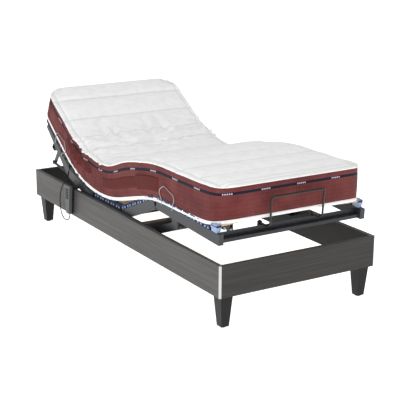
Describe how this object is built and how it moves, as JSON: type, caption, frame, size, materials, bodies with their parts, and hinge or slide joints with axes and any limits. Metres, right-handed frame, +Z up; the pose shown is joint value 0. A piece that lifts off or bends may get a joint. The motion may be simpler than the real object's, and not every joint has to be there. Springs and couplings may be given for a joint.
{
  "type": "adjustable bed base",
  "caption": "Single adjustable bed with a wooden surround, hinged slatted deck with raised back and knees, electric drives, wired handset and a bendable mattress",
  "frame": {"origin": "on the floor under the middle of the surround", "axes": "+Z up, +Y towards the head end, +X to the right when seen from the foot end"},
  "size_m": [0.9084, 2.0012, 0.8397],
  "materials": {
    "surround_side": "dark grey wood-grain film",
    "trim": "satin aluminium",
    "leg": "black stained",
    "glide": "matte",
    "bolt": "zinc plated",
    "deck_steel": "satin powder coat",
    "slat": "clear lacquer on beech",
    "holder": "matte",
    "drive": "matte",
    "rod": "bright steel",
    "bush": "smooth nylon",
    "cap": "matte",
    "wire": "satin",
    "retainer": "satin black",
    "handset_front": "matte",
    "handset_back": "matte",
    "button": "matte",
    "cord": "satin",
    "mattress": "woven red border, white quilted top"
  },
  "bodies": {
    "base": {"side_panel_left": "surround_side", "side_panel_right": "surround_side", "foot_panel": "surround_side", "head_panel": "surround_side", "corner_trims": "trim", "corner_brackets": "bolt", "leg_foot_left": "leg", "leg_foot_right": "leg", "leg_head_left": "leg", "leg_head_right": "leg", "leg_glides": "glide", "leg_bolts": "bolt", "support_angles": "deck_steel", "seat_frame": "deck_steel", "seat_hinge_pins": "bolt", "seat_slats": "slat", "seat_slat_holders": "holder", "back_drive": "drive", "leg_drive": "drive", "control_box": "drive", "handset_front_shell": "handset_front", "handset_back_shell": "handset_back", "handset_cord": "cord", "mattress_seat": "mattress"},
    "thigh": {"thigh_frame": "deck_steel", "knee_hinge_pins": "bolt", "thigh_slats": "slat", "thigh_slat_holders": "holder", "mattress_thigh": "mattress"},
    "calf": {"calf_frame": "deck_steel", "calf_slats": "slat", "calf_slat_holders": "holder", "rail_end_caps": "cap", "foot_retainer": "retainer", "retainer_clamps": "cap", "calf_side_hoops": "wire", "mattress_calf": "mattress"},
    "lower_back": {"lower_back_frame": "deck_steel", "back_hinge_pins": "bolt", "lower_back_slats": "slat", "lower_back_slat_holders": "holder", "mattress_lower_back": "mattress"},
    "upper_back": {"upper_back_frame": "deck_steel", "upper_back_slats": "slat", "upper_back_slat_holders": "holder", "back_side_hoops": "wire", "mattress_upper_back": "mattress"},
    "leg_lift": {"leg_lift_frame": "deck_steel", "link_bushes": "bush"},
    "fold_rods": {"sync_rods": "deck_steel"},
    "back_rod": {"back_push_rod": "rod"},
    "leg_rod": {"leg_push_rod": "rod"},
    "key_back_up": {"button_back_up": "button"},
    "key_back_down": {"button_back_down": "button"},
    "key_legs_up": {"button_legs_up": "button"},
    "key_legs_down": {"button_legs_down": "button"},
    "key_both_up": {"button_both_up": "button"},
    "key_both_down": {"button_both_down": "button"},
    "key_flat": {"button_flat": "button"},
    "key_light": {"button_light": "button"}
  },
  "joints": [
    {"name": "thigh_raise", "type": "hinge", "parent": "base", "child": "thigh", "pos_m": [0, -0.025, 0.292], "axis": [-1, 0, 0], "range_deg": [-22.5, 12.5]},
    {"name": "knee_bend", "type": "hinge", "parent": "thigh", "child": "calf", "pos_m": [0, -0.38134, 0.41687], "axis": [1, 0, 0], "range_deg": [-25.4, 14.12]},
    {"name": "lower_back_raise", "type": "hinge", "parent": "base", "child": "lower_back", "pos_m": [0, 0.295, 0.292], "axis": [1, 0, 0], "range_deg": [-15, 12]},
    {"name": "upper_back_fold", "type": "hinge", "parent": "lower_back", "child": "upper_back", "pos_m": [0, 0.593, 0.38531], "axis": [1, 0, 0], "range_deg": [-21.5, 17.21]},
    {"name": "leg_lift_swing", "type": "hinge", "parent": "base", "child": "leg_lift", "pos_m": [0, -0.171, 0.2215], "axis": [-1, 0, 0], "range_deg": [-21.51, 11.97]},
    {"name": "fold_rod_swing", "type": "hinge", "parent": "upper_back", "child": "fold_rods", "pos_m": [0, 0.8721, 0.36791], "axis": [1, 0, 0], "range_deg": [-9.7, 12.1]},
    {"name": "back_rod_slide", "type": "slide", "parent": "base", "child": "back_rod", "axis": [0, 1, 0], "range_m": [-0.0262, 0.021]},
    {"name": "leg_rod_slide", "type": "slide", "parent": "base", "child": "leg_rod", "axis": [0, -1, 0], "range_m": [-0.0224, 0.0125]},
    {"name": "press_back_up", "type": "slide", "parent": "base", "child": "key_back_up", "axis": [1, 0, 0], "range_m": [0, 0.0015], "stiffness_N_per_m": 400},
    {"name": "press_back_down", "type": "slide", "parent": "base", "child": "key_back_down", "axis": [1, 0, 0], "range_m": [0, 0.0015], "stiffness_N_per_m": 400},
    {"name": "press_legs_up", "type": "slide", "parent": "base", "child": "key_legs_up", "axis": [1, 0, 0], "range_m": [0, 0.0015], "stiffness_N_per_m": 400},
    {"name": "press_legs_down", "type": "slide", "parent": "base", "child": "key_legs_down", "axis": [1, 0, 0], "range_m": [0, 0.0015], "stiffness_N_per_m": 400},
    {"name": "press_both_up", "type": "slide", "parent": "base", "child": "key_both_up", "axis": [1, 0, 0], "range_m": [0, 0.0015], "stiffness_N_per_m": 400},
    {"name": "press_both_down", "type": "slide", "parent": "base", "child": "key_both_down", "axis": [1, 0, 0], "range_m": [0, 0.0015], "stiffness_N_per_m": 400},
    {"name": "press_flat", "type": "slide", "parent": "base", "child": "key_flat", "axis": [1, 0, 0], "range_m": [0, 0.0015], "stiffness_N_per_m": 400},
    {"name": "press_light", "type": "slide", "parent": "base", "child": "key_light", "axis": [1, 0, 0], "range_m": [0, 0.0015], "stiffness_N_per_m": 400}
  ],
  "couplings": [
    {"joint": "knee_bend", "follows": "thigh_raise", "ratio": 1.1289},
    {"joint": "upper_back_fold", "follows": "lower_back_raise", "ratio": 1.4333},
    {"joint": "leg_lift_swing", "follows": "thigh_raise", "ratio": 0.9538},
    {"joint": "fold_rod_swing", "follows": "lower_back_raise", "ratio": -0.8024},
    {"joint": "back_rod_slide", "follows": "lower_back_raise", "m_per_rad": 0.09932},
    {"joint": "leg_rod_slide", "follows": "thigh_raise", "m_per_rad": 0.05676}
  ]
}
